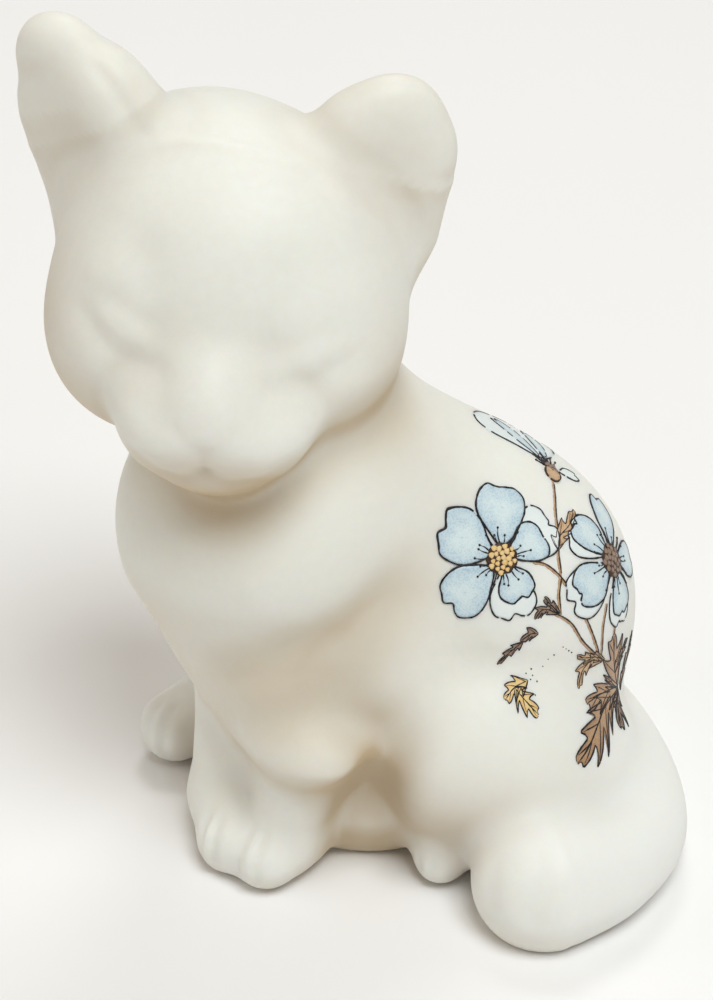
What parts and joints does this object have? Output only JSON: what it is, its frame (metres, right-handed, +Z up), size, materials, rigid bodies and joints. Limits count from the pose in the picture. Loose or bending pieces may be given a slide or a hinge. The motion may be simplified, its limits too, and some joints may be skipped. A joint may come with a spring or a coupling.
{
  "type": "ceramic cat figurine",
  "caption": "Small ivory ceramic figurine of a sitting kitten, head turned to its left, tail wrapped round its side, with blue flower and brown leaf decals on its flank.",
  "frame": {"origin": "centre of the bounding box in X and Y, on the ground under the kitten", "axes": "+Z up, the kitten's body faces -Y, its left side is +X"},
  "size_m": [0.0766, 0.0596, 0.095],
  "materials": {
    "ceramic": "satin",
    "petal_blue": "satin",
    "gold_enamel": "satin",
    "pale_enamel": "satin",
    "stem_tan": "satin",
    "leaf_brown": "satin"
  },
  "bodies": {
    "root": {"cat_casting": "ceramic", "decal_left_petals": "petal_blue", "decal_left_centre": "gold_enamel", "decal_right_petals": "petal_blue", "decal_right_centre": "gold_enamel", "decal_top_flower": "petal_blue", "decal_top_calyx": "pale_enamel", "decal_main_stem": "stem_tan", "decal_branch_stem": "stem_tan", "decal_lower_stems": "stem_tan", "decal_upper_leaf": "leaf_brown", "decal_small_leaf": "leaf_brown", "decal_gold_leaf": "gold_enamel", "decal_brown_leaf": "leaf_brown", "decal_large_leaf": "leaf_brown", "decal_edge_leaf": "leaf_brown", "decal_stray_brown": "leaf_brown", "decal_stray_gold": "gold_enamel"}
  },
  "joints": []
}
